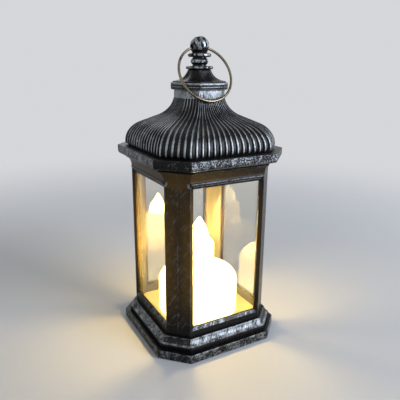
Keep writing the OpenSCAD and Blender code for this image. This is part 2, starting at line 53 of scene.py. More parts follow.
WINDOW_HW = 32.1
SILL_Z = 27.2
HEAD_Z = 150.8
INSIDE_HW = 46.2
EAVE_Z = 175.5
ROOF_HW = 55.6
NECK_HW = 19.2
NECK_Z = 224.4
NECK_TOP_T = 3
SCREW_HOLE_R = 1.6
BAND_FOOT_Z = 217.6
SIDE_RIBS = 14
CORNER_RIBS = 5
RIB_DEPTH = 1.4
NECK_GROOVE = 0.4
SHELL_T = 2
OGEE_R = 20
OGEE_SLOPE = 24.5
OGEE_TOP_Z = 221
OGEE_FOOT_Z = 178.5
DECK_Z = 16.6
CANDLE_R = 37.4
CANDLE_Z = 60
CANDLE_ROUND_R = 12
CANDLE_CROWN = 15
CANDLE_WALL = 1.8
CUP_R = 14.5
CUP_Z = 86.5
FLAME_R = 9.8
FLAME_Z = 108.5
EYE_Z = 258.7
EYE_SAG = 0.64
RING_R = 24.4
WIRE_R = 1.1
RING_LEAN = 27.2


# ---------------------------------------------------------------- meshes

def new_piece(name, bm, body, materials, replaced):
    """A finished piece from a bmesh in metres, which rides on body and stands for CAD nodes."""
    mesh = bpy.data.meshes.new(name)
    bm.to_mesh(mesh)
    bm.free()
    obj = bpy.data.objects.new(name, mesh)
    scene.collection.objects.link(obj)
    for material in materials:
        mesh.materials.append(material)
    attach(obj, body)
    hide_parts(*replaced)
    return obj


def ring_edges(bm, ring):
    """The edges of a closed ring of points."""
    return [bm.edges.get((a, b)) for a, b in zip(ring, ring[1:] + ring[:1])]


def next_ring(bm, ring):
    """A ring of points extruded from the last one, in the same order."""
    made = bmesh.ops.extrude_edge_only(bm, edges=ring_edges(bm, ring))["geom"]
    new = {g for g in made if isinstance(g, bmesh.types.BMVert)}
    return [next(e.other_vert(v) for e in v.link_edges if e.other_vert(v) in new) for v in ring]


def face_out(bm):
    """Turns all faces outwards."""
    bmesh.ops.recalc_face_normals(bm, faces=bm.faces)


def shade_smooth(bm, sharp_angle=180):
    """Smooth shading, but for the edges that turn by more than sharp_angle degrees."""
    for f in bm.faces:
        f.smooth = True
    for e in bm.edges:
        e.smooth = not (e.is_manifold and e.calc_face_angle(0) > math.radians(sharp_angle))


def lathe(profile, steps):
    """A body of revolution about the Z axis from (radius, height) points in millimetres."""
    bm = bmesh.new()
    points = [bm.verts.new((r * MM, 0, z * MM)) for r, z in profile]
    edges = [bm.edges.new(pair) for pair in zip(points, points[1:])]
    bmesh.ops.spin(bm, geom=points + edges, cent=(0, 0, 0), axis=(0, 0, 1),
                   angle=math.tau, steps=steps, use_merge=True)
    bmesh.ops.remove_doubles(bm, verts=bm.verts, dist=1e-6)
    face_out(bm)
    return bm


def arc(h, z, r, start, end, steps):
    """Points of an arc in the (half width, height) plane, from one angle to the other."""
    angles = [math.radians(start + (end - start) * i / steps) for i in range(steps + 1)]
    return [(h + r * math.cos(a), z + r * math.sin(a)) for a in angles]


def bend(p, corner, q, steps):
    """Points of a soft bend from p to q that heads for the corner."""
    return [tuple(a * (1 - t) ** 2 + c * 2 * t * (1 - t) + b * t * t
                  for a, c, b in zip(p, corner, q)) for t in (i / steps for i in range(steps + 1))]


def along(p, q, steps):
    """The points between p and q, without them."""
    return [tuple(a + (b - a) * i / steps for a, b in zip(p, q)) for i in range(1, steps)]


def part_way(value, start, end):
    """How far a value has come from start to end, from 0 to 1."""
    return min(1, max(0, (value - start) / (end - start)))


def distance_to_edges(points, edges):
    """For each point, the distance to the nearest of the edges."""
    starts = np.array([a for a, b in edges])
    spans = np.array([b for a, b in edges]) - starts
    squares = np.maximum((spans ** 2).sum(1), 1e-18)
    nearest = np.full(len(points), 1.0)
    for start, span, square in zip(starts, spans, squares):
        off = points - start
        t = np.clip((off @ span) / square, 0, 1)
        nearest = np.minimum(nearest, np.linalg.norm(off - t[:, None] * span, axis=1))
    return nearest


def worn_copy(node, rounding, grid, sharp=30):
    """A CAD node's shape with the edges that turn by more than sharp degrees rounded as a mould
    leaves them, cut into faces of about the grid's size, and with each point's distance from the
    nearest raised edge and from the nearest hollow one, because the brush finds the first and
    misses the second. Sizes are in millimetres."""
    bm = bmesh.new()
    bm.from_mesh(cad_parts[node].data)
    # The loose triangles are joined into whole flat faces first
    bmesh.ops.remove_doubles(bm, verts=bm.verts, dist=2e-6)
    bmesh.ops.dissolve_limit(bm, angle_limit=math.radians(0.6), verts=bm.verts, edges=bm.edges)
    turning = [e for e in bm.edges if e.is_manifold and e.calc_face_angle(0) > math.radians(sharp)]
    found = {"edge_mm": [[tuple(v.co) for v in e.verts] for e in turning if e.is_convex],
             "hollow_mm": [[tuple(v.co) for v in e.verts] for e in turning if not e.is_convex]}
    # An edge shorter than two roundings has no room for them
    rounded = [e for e in turning if e.is_convex and e.calc_length() > 2.2 * rounding * MM]
    bmesh.ops.bevel(bm, geom=rounded, offset=rounding * MM, offset_type="OFFSET", segments=2,
                    profile=0.5, affect="EDGES", clamp_overlap=True, material=-1)
    bmesh.ops.triangulate(bm, faces=bm.faces)
    # Six halvings are enough for the longest edge of the frame
    for _ in range(6):
        long_edges = [e for e in bm.edges if e.calc_length() > grid * MM]
        if not long_edges:
            break
        bmesh.ops.subdivide_edges(bm, edges=long_edges, cuts=1, use_grid_fill=True)
        bmesh.ops.triangulate(bm, faces=bm.faces)
    points = np.array([v.co for v in bm.verts])
    for attribute, edges in found.items():
        layer = bm.verts.layers.float.new(attribute)
        for v, d in zip(bm.verts, distance_to_edges(points, edges)):
            v[layer] = d / MM
    shade_smooth(bm, sharp_angle=50)
    return bm


def brush_over(bm, share):
    """Notes on each face how much silver the brush left there, from none, 0, to all over, 1, and
    how much of it was dabbed on. share gives both from a face's middle, in millimetres, and the
    way the face looks."""
    brushed = bm.faces.layers.float.new("brushed")
    dabbed = bm.faces.layers.float.new("dabbed")
    for f in bm.faces:
        f[brushed], f[dabbed] = share(f.calc_center_median() / MM, f.normal)


def even_shading(obj):
    """Keeps flat faces flat to the eye beside their rounded edges."""
    modifier = obj.modifiers.new("even shading", "WEIGHTED_NORMAL")
    modifier.weight = 90
    modifier.keep_sharp = True


# ---------------------------------------------------------------- materials

def colour(code):
    """An sRGB hex colour as linear RGBA."""
    parts = [int(code[i:i + 2], 16) / 255 for i in (1, 3, 5)]
    return (*[c / 12.92 if c <= 0.04045 else ((c + 0.055) / 1.055) ** 2.4 for c in parts], 1)


def add(tree, kind, links=(), **settings):
    """Adds a node with its settings. links pairs an input's name or number with a node, whose
    first live output it takes, with one output, or with a value."""
    node = tree.nodes.new("ShaderNode" + kind)
    for name, value in settings.items():
        setattr(node, name, value)
    for key, source in dict(links).items():
        socket = node.inputs[key] if isinstance(key, int) else next(
            s for s in node.inputs if s.enabled and s.name == key)
        if isinstance(source, bpy.types.Node):
            source = next(out for out in source.outputs if out.enabled)
        if isinstance(source, bpy.types.NodeSocket):
            tree.links.new(source, socket)
        else:
            socket.default_value = source
    return node


def new_material(name):
    """A material with an empty tree."""
    material = bpy.data.materials.new(name)
    material.use_nodes = True
    material.node_tree.nodes.clear()
    return material, material.node_tree


def wall_place(tree, where):
    """A point's place on its own wall, whichever way that looks: how far along, how high and how
    far out. Brush marks laid there keep their slant on every side of the lantern."""
    outward = where.outputs["Normal"]
    # The small tilt gives a level face a direction as well
    tilted = add(tree, "VectorMath", {0: outward, 1: (0.011, 0.007, 0)}, operation="ADD")
    sideways = add(tree, "VectorMath", {0: (0, 0, 1), 1: tilted}, operation="CROSS_PRODUCT")
    level = add(tree, "VectorMath", {0: sideways}, operation="NORMALIZE")
    run = add(tree, "VectorMath", {0: where.outputs["Object"], 1: level}, operation="DOT_PRODUCT")
    out = add(tree, "VectorMath", {0: where.outputs["Object"], 1: outward},
              operation="DOT_PRODUCT")
    height = add(tree, "SeparateXYZ", {0: where.outputs["Object"]}).outputs["Z"]
    return add(tree, "CombineXYZ", {0: run, 1: height, 2: out})


def brush_marks(tree, wall, slant, length, width, start):
    """Brush marks of that length and width in millimetres, rising at that slant in degrees on the
    wall. Two sets with different starts don't run alike."""
    turned = add(tree, "Mapping", {"Vector": wall, "Location": (start, start / 2, 0),
                                   "Rotation": (0, 0, math.radians(-slant))})
    drawn = add(tree, "Mapping", {"Vector": turned, "Scale": (1 / (length * MM), 1 / (width * MM),
                                                              1 / (8 * MM))})
    return add(tree, "TexNoise", {"Vector": drawn, "Scale": 1.0, "Detail": 2.5, "Roughness": 0.6})


BLACK_ABS = "#0a0a0b"
BROWNED_ABS = "#16130f"
# Bronze, and the candle's warm glow painted on the posts and in the cove
BRONZE_AND_GLOW = "#5c4518"
SILVER_PAINT = "#868c92"
THIN_SILVER = "#4a4843"


def silver_over_black(tree, paint, under, grit, relief, smoothest=0.2, depth=0.14):
    """The shader of dry-brushed ABS. Paint is a thin coat of aluminium flakes: it brightens as it
    thickens, and mirrors light softly, where bare ABS has a satin, mostly dark face. The brush
    marks stand depth millimetres high."""
    coat = add(tree, "Mix", {"Factor": paint, "A": colour(THIN_SILVER), "B": colour(SILVER_PAINT)},
               data_type="RGBA")
    base = add(tree, "Mix", {"Factor": paint, "A": under, "B": coat}, data_type="RGBA")
    metal = add(tree, "Math", {0: paint, 1: 0.85}, operation="MULTIPLY")
    rough = add(tree, "MapRange", {"Value": grit, "From Min": 0.3, "From Max": 0.7,
                                   "To Min": smoothest, "To Max": smoothest + 0.2})
    rough = add(tree, "Math", {0: paint, 1: 0.14, 2: rough}, operation="MULTIPLY_ADD")
    bump = add(tree, "Bump", {"Height": relief, "Strength": 1.0, "Distance": depth * MM})
    shader = add(tree, "BsdfPrincipled", {"Base Color": base, "Metallic": metal,
                                          "Roughness": rough, "Specular IOR Level": 0.15,
                                          "Normal": bump})
    add(tree, "OutputMaterial", {"Surface": shader})


def painted_abs(name, turned=False, slant=58, edge_reach=0.9, smoothest=0.2, depth=0.14):
    """Black injection-moulded ABS, dry-brushed with silver paint by hand: slanting scratchy
    strokes, most on the slopes that the brush met and up to edge_reach millimetres from the
    edges, none in the hollow corners. Some bands were dabbed instead, which leaves specks. On a
    turned piece the marks run up and down."""
    material, tree = new_material(name)
    where = add(tree, "TexCoord")
    place = where.outputs["Object"]
    if turned:
        stretched = add(tree, "Mapping", {"Vector": place, "Scale": (1, 1, 0.4)})
        long_marks = add(tree, "TexNoise", {"Vector": stretched, "Scale": 1 / (2.6 * MM),
                                            "Detail": 2.5})
        short_marks = add(tree, "TexNoise", {"Vector": stretched, "Scale": 1 / (1.2 * MM)})
    else:
        wall = wall_place(tree, where)
        long_marks = brush_marks(tree, wall, slant, length=16, width=0.55, start=0.31)
        short_marks = brush_marks(tree, wall, slant - 8, length=7, width=0.4, start=0.77)
    specks = add(tree, "TexNoise", {"Vector": place, "Scale": 1 / (1.2 * MM), "Detail": 4,
                                    "Roughness": 0.7})
    blotch = add(tree, "TexNoise", {"Vector": place, "Scale": 1 / (6 * MM), "Detail": 3})
    grit = add(tree, "TexNoise", {"Vector": place, "Scale": 1 / (0.8 * MM), "Detail": 2})
    share, dabbed, edge, hollow, bronze_and_glow = (
        add(tree, "Attribute", attribute_name=note).outputs["Fac"]
        for note in ("brushed", "dabbed", "edge_mm", "hollow_mm", "bronze_and_glow"))

    # Strokes and dabs on the faces
    marks = add(tree, "Mix", {"Factor": 0.35, "A": long_marks, "B": short_marks})
    marks = add(tree, "Mix", {"Factor": dabbed, "A": marks, "B": specks})
    level = add(tree, "Math", {0: share, 1: 0.3, 2: marks}, operation="MULTIPLY_ADD")
    level = add(tree, "Math", {0: blotch, 1: 0.3, 2: level}, operation="MULTIPLY_ADD")
    brushed = add(tree, "MapRange", {"Value": level, "From Min": 0.81, "From Max": 0.92},
                  interpolation_type="SMOOTHSTEP")
    # Where little silver was left it is thin as well, and only veils the black
    body = add(tree, "MapRange", {"Value": share, "From Max": 0.7, "To Min": 0.12})
    brushed = add(tree, "Math", {0: brushed, 1: body}, operation="MULTIPLY")

    # A ragged line of silver on the edges, worn off in patches, and less of it among dabs
    ragged = add(tree, "Math", {0: grit, 1: 1.6, 2: edge}, operation="MULTIPLY_ADD")
    rubbed = add(tree, "MapRange", {"Value": ragged, "From Min": 0.8 + edge_reach,
                                    "From Max": 0.85}, interpolation_type="SMOOTHSTEP")
    worn = add(tree, "MapRange", {"Value": blotch, "From Min": 0.4, "From Max": 0.62})
    worn = add(tree, "Math", {0: worn, 1: body}, operation="MULTIPLY")
    rubbed = add(tree, "Math", {0: rubbed, 1: worn}, operation="MULTIPLY")
    kept = add(tree, "MapRange", {"Value": dabbed, "To Min": 0.9, "To Max": 0.3})
    rubbed = add(tree, "Math", {0: rubbed, 1: kept}, operation="MULTIPLY")
    paint = add(tree, "Math", {0: brushed, 1: rubbed}, operation="MAXIMUM")
    # The brush didn't reach into the hollow corners
    reached = add(tree, "MapRange", {"Value": hollow, "From Min": 0.3, "From Max": 1.3},
                  interpolation_type="SMOOTHSTEP")
    paint = add(tree, "Math", {0: paint, 1: reached}, operation="MULTIPLY")

    # The bronze under the silver also carries the candle's painted warm glow
    bronze_and_glow_amount = add(tree, "Math", {0: bronze_and_glow, 1: blotch, 2: bronze_and_glow}, operation="MULTIPLY_ADD")
    under = add(tree, "Mix", {"Factor": bronze_and_glow_amount, "A": colour(BLACK_ABS), "B": colour(BRONZE_AND_GLOW)},
                data_type="RGBA")
    relief = add(tree, "Math", {0: grit, 1: 0.5, 2: marks}, operation="MULTIPLY_ADD")
    silver_over_black(tree, paint, under, grit, relief, smoothest, depth)
    return material


def ribbed_abs(name):
    """The same painted ABS on the ribs of the roof: the brush ran down the crests, skipped here
    and there, and left the grooves black. Where it was dabbed, the paint reaches the grooves."""
    material, tree = new_material(name)
    place = add(tree, "TexCoord").outputs["Object"]
    crest, share, dabbed, across, run = (
        add(tree, "Attribute", attribute_name=note).outputs["Fac"]
        for note in ("crest", "brushed", "dabbed", "across_mm", "run_mm"))
    flat = add(tree, "CombineXYZ", {0: across, 1: run})
    # Streaks are 0.6 mm wide and 6 mm long
    on_rib = add(tree, "Mapping", {"Vector": flat, "Scale": (1 / 0.6, 1 / 6, 1)})
    streak = add(tree, "TexNoise", {"Vector": on_rib, "Scale": 1.0, "Detail": 3,
                                    "Roughness": 0.65})
    blotch = add(tree, "TexNoise", {"Vector": place, "Scale": 1 / (11 * MM), "Detail": 3})
    grit = add(tree, "TexNoise", {"Vector": place, "Scale": 1 / (0.8 * MM), "Detail": 2})

    # The crest, the streaks, the blotches, the grit and the share of silver all count
    top = add(tree, "Math", {0: crest, 1: 3.0}, operation="POWER")
    on_top = add(tree, "MapRange", {"Value": dabbed, "To Min": 1.5, "To Max": 0.75})
    level = add(tree, "Math", {0: top, 1: on_top}, operation="MULTIPLY")
    level = add(tree, "Math", {0: streak, 1: 1.8, 2: level}, operation="MULTIPLY_ADD")
    level = add(tree, "Math", {0: blotch, 1: 1.2, 2: level}, operation="MULTIPLY_ADD")
    level = add(tree, "Math", {0: grit, 1: 0.6, 2: level}, operation="MULTIPLY_ADD")
    level = add(tree, "Math", {0: share, 1: 0.6, 2: level}, operation="MULTIPLY_ADD")
    paint = add(tree, "MapRange", {"Value": level, "From Min": 3.05, "From Max": 3.6},
                interpolation_type="SMOOTHSTEP")
    under = add(tree, "Mix", {"Factor": streak, "A": colour(BLACK_ABS), "B": colour(BROWNED_ABS)},
                data_type="RGBA")
    relief = add(tree, "Math", {0: grit, 1: 0.5, 2: streak}, operation="MULTIPLY_ADD")
    silver_over_black(tree, paint, under, grit, relief)
    return material


def bare_abs(name, dark, light, smoothest=0.3, roughest=0.5, depth=0.04):
    """Plastic left as it was moulded or coated: an even colour with a spark grain of 0.6 mm,
    depth millimetres deep, that breaks up its shine."""
    material, tree = new_material(name)
    place = add(tree, "TexCoord").outputs["Object"]
    cloud = add(tree, "TexNoise", {"Vector": place, "Scale": 1 / (14 * MM), "Detail": 2})
    spark = add(tree, "TexNoise", {"Vector": place, "Scale": 1 / (0.6 * MM), "Detail": 2})
    base = add(tree, "Mix", {"Factor": cloud, "A": colour(dark), "B": colour(light)},
               data_type="RGBA")
    rough = add(tree, "MapRange", {"Value": spark, "From Min": 0.3, "From Max": 0.7,
                                   "To Min": smoothest, "To Max": roughest})
    bump = add(tree, "Bump", {"Height": spark, "Strength": 1.0, "Distance": depth * MM})
    shader = add(tree, "BsdfPrincipled", {"Base Color": base, "Roughness": rough, "Normal": bump})
    add(tree, "OutputMaterial", {"Surface": shader})
    return material


def clear_acrylic(name):
    """Clear cast acrylic sheet: nearly unseen, with mirror images of the light in both faces.
    Rays from lamps and to dull surfaces go straight through it."""
    material, tree = new_material(name)
    shader = add(tree, "BsdfPrincipled", {"Base Color": colour("#f4f1ea"), "Roughness": 0.015,
                                          "IOR": 1.49, "Transmission Weight": 1.0})
    ray = add(tree, "LightPath")
    straight = add(tree, "Math", {0: ray.outputs["Is Shadow Ray"],
                                  1: ray.outputs["Is Diffuse Ray"]}, operation="MAXIMUM")
    through = add(tree, "BsdfTransparent", {"Color": colour("#f4f1ea")})
    mix = add(tree, "MixShader", {0: straight, 1: shader, 2: through})
    add(tree, "OutputMaterial", {"Surface": mix})
    return material


def glowing(name, base, light, strength, rough, grain):
    """Moulded polypropylene or epoxy lit from inside: it gives off warm light evenly, and its
    soft grain, as wide as grain says in millimetres, only shows where the glow is low."""
    material, tree = new_material(name)
    place = add(tree, "TexCoord").outputs["Object"]
    soft = add(tree, "TexNoise", {"Vector": place, "Scale": 1 / (grain * MM), "Detail": 3})
    tone = add(tree, "Mix", {"Factor": soft, "A": colour(base), "B": colour(light)},
               data_type="RGBA")
    uneven = add(tree, "MapRange", {"Value": soft, "From Min": 0.3, "From Max": 0.7,
                                    "To Min": rough, "To Max": rough + 0.15})
    bump = add(tree, "Bump", {"Height": soft, "Strength": 1.0, "Distance": 0.15 * MM})
    shader = add(tree, "BsdfPrincipled", {"Base Color": tone, "Roughness": uneven, "Normal": bump,
                                          "Emission Color": colour(light),
                                          "Emission Strength": strength})
    add(tree, "OutputMaterial", {"Surface": shader})
    return material


def drawn_wire(name):
    """Antique brass wire: a dull, browned metal with a rubbed shine and darker, redder patches."""
    material, tree = new_material(name)
    place = add(tree, "TexCoord").outputs["Object"]
    cloud = add(tree, "TexNoise", {"Vector": place, "Scale": 1 / (9 * MM), "Detail": 2})
    scuff = add(tree, "TexNoise", {"Vector": place, "Scale": 1 / (0.7 * MM), "Detail": 3})
    patch = add(tree, "MapRange", {"Value": cloud, "From Min": 0.5, "From Max": 0.68},
                interpolation_type="SMOOTHSTEP")
    rubbed = add(tree, "Mix", {"Factor": scuff, "A": colour("#575043"), "B": colour("#877e6b")},
                 data_type="RGBA")
    base = add(tree, "Mix", {"Factor": patch, "A": rubbed, "B": colour("#4a2f24")},
               data_type="RGBA")
    rough = add(tree, "MapRange", {"Value": scuff, "From Min": 0.3, "From Max": 0.7,
                                   "To Min": 0.2, "To Max": 0.36})
    bump = add(tree, "Bump", {"Height": scuff, "Strength": 1.0, "Distance": 0.03 * MM})
    shader = add(tree, "BsdfPrincipled", {"Base Color": base, "Metallic": 1.0, "Roughness": rough,
                                          "Normal": bump})
    add(tree, "OutputMaterial", {"Surface": shader})
    return material


def plated(name):
    """Bright zinc plate on steel: a clean, slightly cloudy metal."""
    material, tree = new_material(name)
    place = add(tree, "TexCoord").outputs["Object"]
    cloud = add(tree, "TexNoise", {"Vector": place, "Scale": 1 / (1.2 * MM), "Detail": 3})
    base = add(tree, "Mix", {"Factor": cloud, "A": colour("#a9abad"), "B": colour("#d9dadb")},
               data_type="RGBA")
    rough = add(tree, "MapRange", {"Value": cloud, "From Min": 0.3, "From Max": 0.7,
                                   "To Min": 0.28, "To Max": 0.43})
    bump = add(tree, "Bump", {"Height": cloud, "Strength": 1.0, "Distance": 0.01 * MM})
    shader = add(tree, "BsdfPrincipled", {"Base Color": base, "Metallic": 1.0, "Roughness": rough,
                                          "Normal": bump})
    add(tree, "OutputMaterial", {"Surface": shader})
    return material


panel_paint = painted_abs("black moulded ABS, dry-brushed silver")
roof_paint = ribbed_abs("black moulded ABS ribs, dry-brushed silver")
collar_paint = painted_abs("stepped ABS, rubbed with silver", slant=75, edge_reach=1.0,
                           smoothest=0.32)
finial_paint = painted_abs("turned-look ABS, rubbed with silver", turned=True, edge_reach=1.1,
                           smoothest=0.08, depth=0.05)
inner_abs = bare_abs("bare ABS inside the lantern", "#4a4226", "#5a5230", smoothest=0.05,
                     roughest=0.12, depth=0.006)
deck_abs = bare_abs("bare ABS candle floor", "#cdc083", "#ddd094", roughest=0.45)
base_abs = bare_abs("spark-textured black base plastic", "#141415", "#1d1d1f", smoothest=0.42,
                    roughest=0.6)
pane_acrylic = clear_acrylic("clear acrylic pane")
candle_glow = glowing("ivory candle plastic, lit", "#f6ead0", "#ffe391", strength=5.0, rough=0.4,
                      grain=3)
flame_glow = glowing("frosted flame plastic, lit", "#fff2d8", "#ffea9e", strength=45.0, rough=0.35,
                     grain=2)
cup_glow = glowing("frosted cup plastic, lit", "#fff2d8", "#ffe08c", strength=14.0, rough=0.35,
                   grain=2)
ring_brass = drawn_wire("antique brass wire")
bright_zinc = plated("bright zinc plate")


# ---------------------------------------------------------------- body: four mitred sides

SIDES = ("front", "right", "back", "left")

# Each band of the moulding from the foot up: the height of its top in millimetres, how much
# silver it took, and how much of that was dabbed on
SIDE_BANDS = (
    (8.3, 0.62, 0.6),     # plinth
    (12.6, 0.15, 0.5),    # recess above it
    (18.8, 0.75, 0),      # slope
    (24.3, 0.2, 0.7),     # rail below the sill
    (156.2, 0.36, 0),     # posts and window surrounds
    (166.2, 0.3, 0.6),    # cove and the quirk above it
    (175.2, 0.65, 0.85),  # rim
    (200, 0.1, 1))        # ledge around the roof's foot

# Where its smaller parts are, in millimetres, with a little room past their own edges
ABOVE_PLINTH_Z = 9
BEVEL_REACH = 4
BEVEL_HW = 50.9
BEVEL_FOOT_Z = 24
BEVEL_TOP_Z = 154
HEAD_BEAD_FOOT_Z = 152.6
HEAD_BEAD_TOP_Z = 156.2
COVE_TOP_Z = 164


def side_share(middle, looks):
    """Ledges stay black, slopes catch the brush, and upright faces go by their band. The brush
    ran along the sides, so it left less on the cut corners between them, and less on the
    posts on the right."""
    along_wall, out = sorted((abs(middle.x), abs(middle.y)))
    level_ledge = looks.z > 0.93
    if level_ledge:
        return 0, 0
    if HEAD_BEAD_FOOT_Z < middle.z < HEAD_BEAD_TOP_Z:
        return (0.8, 1) if along_wall < WINDOW_HW + 5 else (0.1, 0)
    around_window = along_wall < WINDOW_HW + BEVEL_REACH and BEVEL_FOOT_Z < middle.z < BEVEL_TOP_Z
    if around_window and out < BEVEL_HW:
        return (0.6, 0.3) if looks.z > 0.2 else (0.2, 0)
    on_posts = SILL_Z < middle.z < HEAD_Z
    cut_corner = abs(looks.x * looks.y) > 0.2 and middle.z > ABOVE_PLINTH_Z and not on_posts
    right_post = on_posts and middle.x > 10
    share, dabbed = next(band[1:] for band in SIDE_BANDS if middle.z < band[0])
    return share * (0.55 if cut_corner or right_post else 1), dabbed


def bronze_and_glow_on_post(place):
    """A bronze coat under the silver, with the candle's warm glow painted into it, shows in the
    cove and on the posts, most beside the windows and on the left."""
    along_wall = min(abs(place.x), abs(place.y))
    if HEAD_Z - 1 < place.z < HEAD_BEAD_TOP_Z + 0.3 and along_wall < WINDOW_HW + BEVEL_REACH:
        return 0.0
    coat = 0.25 + 0.75 * part_way(place.x, 30, -30)
    if place.z > HEAD_Z:
        return 0.3 * coat if place.z < COVE_TOP_Z else 0.0
    beside = 1 - part_way(along_wall, WINDOW_HW, WINDOW_HW + 12)
    middling = math.sin(math.pi * max(0, place.z - SILL_Z) / (HEAD_Z - SILL_Z))
    upward = part_way(place.z, 26, 56)
    return coat * upward * (0.15 + 0.5 * beside * middling)


def side_piece(side):
    """One side of the frame: painted where it shows, bare on the walls that face the candle."""
    bm = worn_copy("side_panel_" + side, rounding=0.35, grid=3.5)
    brush_over(bm, side_share)
    # Bronze tint, with the candle's warm glow painted into it beside the windows and in the cove
    bronze_and_glow = bm.verts.layers.float.new("bronze_and_glow")
    for v in bm.verts:
        v[bronze_and_glow] = bronze_and_glow_on_post(v.co / MM)
    for f in bm.faces:
        middle = f.calc_center_median()
        inward = f.normal.xy.dot(middle.xy) < -0.2 * middle.xy.length
        within = max(abs(middle.x), abs(middle.y)) < (INSIDE_HW + 0.3) * MM
        f.material_index = int(inward and within)
    even_shading(new_piece("lantern_side_" + side, bm, "lantern",
                           [panel_paint, inner_abs], ["side_panel_" + side]))


def finish_node(material, *names):
    """Gives CAD nodes that keep their shapes their finished material."""
    for name in names:
        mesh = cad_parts[name].data
        mesh.materials.clear()
        mesh.materials.append(material)


for side in SIDES:
    side_piece(side)
    finish_node(pane_acrylic, "window_pane_" + side)


# ---------------------------------------------------------------- roof: a ribbed ogee

def ogee(inside, steps):
    """The ogee from its foot to just under the neck's band, a distance inside the crests."""
    lower = arc(ROOF_HW - OGEE_R, OGEE_FOOT_Z, OGEE_R - inside, 0, 90 - OGEE_SLOPE, steps)
    upper = arc(NECK_HW + OGEE_R, OGEE_TOP_Z, OGEE_R + inside, 270 - OGEE_SLOPE, 190, steps)
    return lower + along(lower[-1], upper[0], max(2, steps // 3)) + upper


# Where the points of one rib lie across its pitch, closest on its steep flanks, and half the
# rib's width, both as shares of the pitch
RIB_AT = (0, 0.08, 0.155, 0.21, 0.245, 0.27, 0.5, 0.73, 0.755, 0.79, 0.845, 0.92)
RIB_HALF = 0.265


def rib_height(t):
    """How high a rib stands above its groove, from 0 to 1, at a share of the pitch."""
    off = min(t, 1 - t) / RIB_HALF
    return math.sqrt(max(0.0, 1 - off * off)) if off < 1 else 0.0


def roof_face(h):
    """Half the length of a broad side of the roof's octagon, where the roof is h in half width."""
    neck, foot = NECK_HW * 0.55, ROOF_HW * 0.68
    return neck + (foot - neck) * (h - NECK_HW) / (ROOF_HW - NECK_HW)


def roof_point(h, z, pitch):
    """The point of a roof ring at a number of rib pitches from the first."""
    quarter, along_quarter = divmod(pitch, SIDE_RIBS + CORNER_RIBS)
    w = roof_face(h)
    if along_quarter < SIDE_RIBS:
        x, y = -w + 2 * w * along_quarter / SIDE_RIBS, -h
    else:
        share = (along_quarter - SIDE_RIBS) / CORNER_RIBS
        x, y = w + (h - w) * share, -h + (h - w) * share
    turned = Matrix.Rotation(math.radians(90) * quarter, 2) @ Vector((x, y))
    return Vector((turned.x, turned.y, z)) * MM


def groove(z):
    """The grooves deepen from the neck to the foot."""
    return NECK_GROOVE + (RIB_DEPTH - NECK_GROOVE) * part_way(z, BAND_FOOT_Z, OGEE_FOOT_Z)


def roof_share(middle, looks):
    """More silver low on the skirt and on the neck than on the slope between them, and a fuller
    coat on the left side, which was brushed across the ribs as well."""
    on_neck = middle.z > BAND_FOOT_Z - 0.6
    on_skirt = middle.z < 190
    along_ribs = 1.2 if on_neck else 0.75 if on_skirt else 0.5
    across_ribs = part_way(middle.x, -8, -48)
    return along_ribs + 1.2 * across_ribs, across_ribs


def roof_piece():
    """The roof as one skin: up over the ribs from the foot, round the neck's top, and down
    inside."""
    # Each ring is (half width at the crests, height, groove depth, whether ribs stand there)
    foot = [(ROOF_HW - 2.2, EAVE_Z, 0, 0), (ROOF_HW - 1.9, EAVE_Z + 0.9, 0, 0),
            (ROOF_HW - 1.1, EAVE_Z + 1.0, RIB_DEPTH * 0.5, 1),
            (ROOF_HW - 0.45, EAVE_Z + 1.3, RIB_DEPTH * 0.85, 1),
            (ROOF_HW - 0.12, EAVE_Z + 1.9, RIB_DEPTH, 1)]
    ribbed = [(h, z, groove(z), 1) for h, z in ogee(0, 13)]
    wall = SHELL_T + RIB_DEPTH
    neck = [(NECK_HW, BAND_FOOT_Z + 0.2, 0, 0), (NECK_HW, NECK_Z, 0, 0),
            (SCREW_HOLE_R, NECK_Z, 0, 0), (SCREW_HOLE_R, NECK_Z - NECK_TOP_T, 0, 0),
            (NECK_HW - wall, NECK_Z - NECK_TOP_T, 0, 0)]
    inner = [(h, z, 0, 0) for h, z in reversed(ogee(wall, 5))]
    rings = foot + ribbed + neck + inner + [(ROOF_HW - wall, EAVE_Z, 0, 0)]

    pitches = 4 * (SIDE_RIBS + CORNER_RIBS)
    places = [k + t for k in range(pitches) for t in RIB_AT]
    bm = bmesh.new()
    crest_layer = bm.verts.layers.float.new("crest")
    across_layer = bm.verts.layers.float.new("across_mm")
    run_layer = bm.verts.layers.float.new("run_mm")
    ring = bmesh.ops.create_circle(bm, segments=len(places), radius=1)["verts"]
    first, run, last = ring, 0.0, rings[0]
    for number, (h, z, depth, stands) in enumerate(rings):
        if number:
            ring = next_ring(bm, ring)
        run += math.hypot(h - last[0], z - last[1])
        last = (h, z)
        band = (not stands) and BAND_FOOT_Z < z <= NECK_Z and h > NECK_HW - 1
        for v, place in zip(ring, places):
            height = rib_height(place % 1) if stands else 0.0
            v.co = roof_point(h - depth * (1 - height), z, place)
            v[crest_layer] = height if stands else (0.85 if band else 0.0)
            v[across_layer] = place * 2 * roof_face(h) / SIDE_RIBS
            v[run_layer] = run
    bmesh.ops.bridge_loops(bm, edges=ring_edges(bm, ring) + ring_edges(bm, first))
    face_out(bm)
    shade_smooth(bm, sharp_angle=40)
    brush_over(bm, roof_share)
    new_piece("ribbed_roof", bm, "lantern", [roof_paint], ["roof_shell"])


roof_piece()


# ---------------------------------------------------------------- collar, finial and ring

def collar_share(middle, looks):
    """Bright on the plate and on the steep part of the flare, black under it and on ledges."""
    if looks.z < -0.5 or looks.z > 0.97:
        return 0, 0
    return (0.95, 0.4) if middle.z < NECK_Z + 6 else (0.2, 0.3)


def finial_share(middle, looks):
    """Silver on all but the undersides of the discs and the bead."""
    return (0.7 if looks.z > -0.4 else 0), 0.1


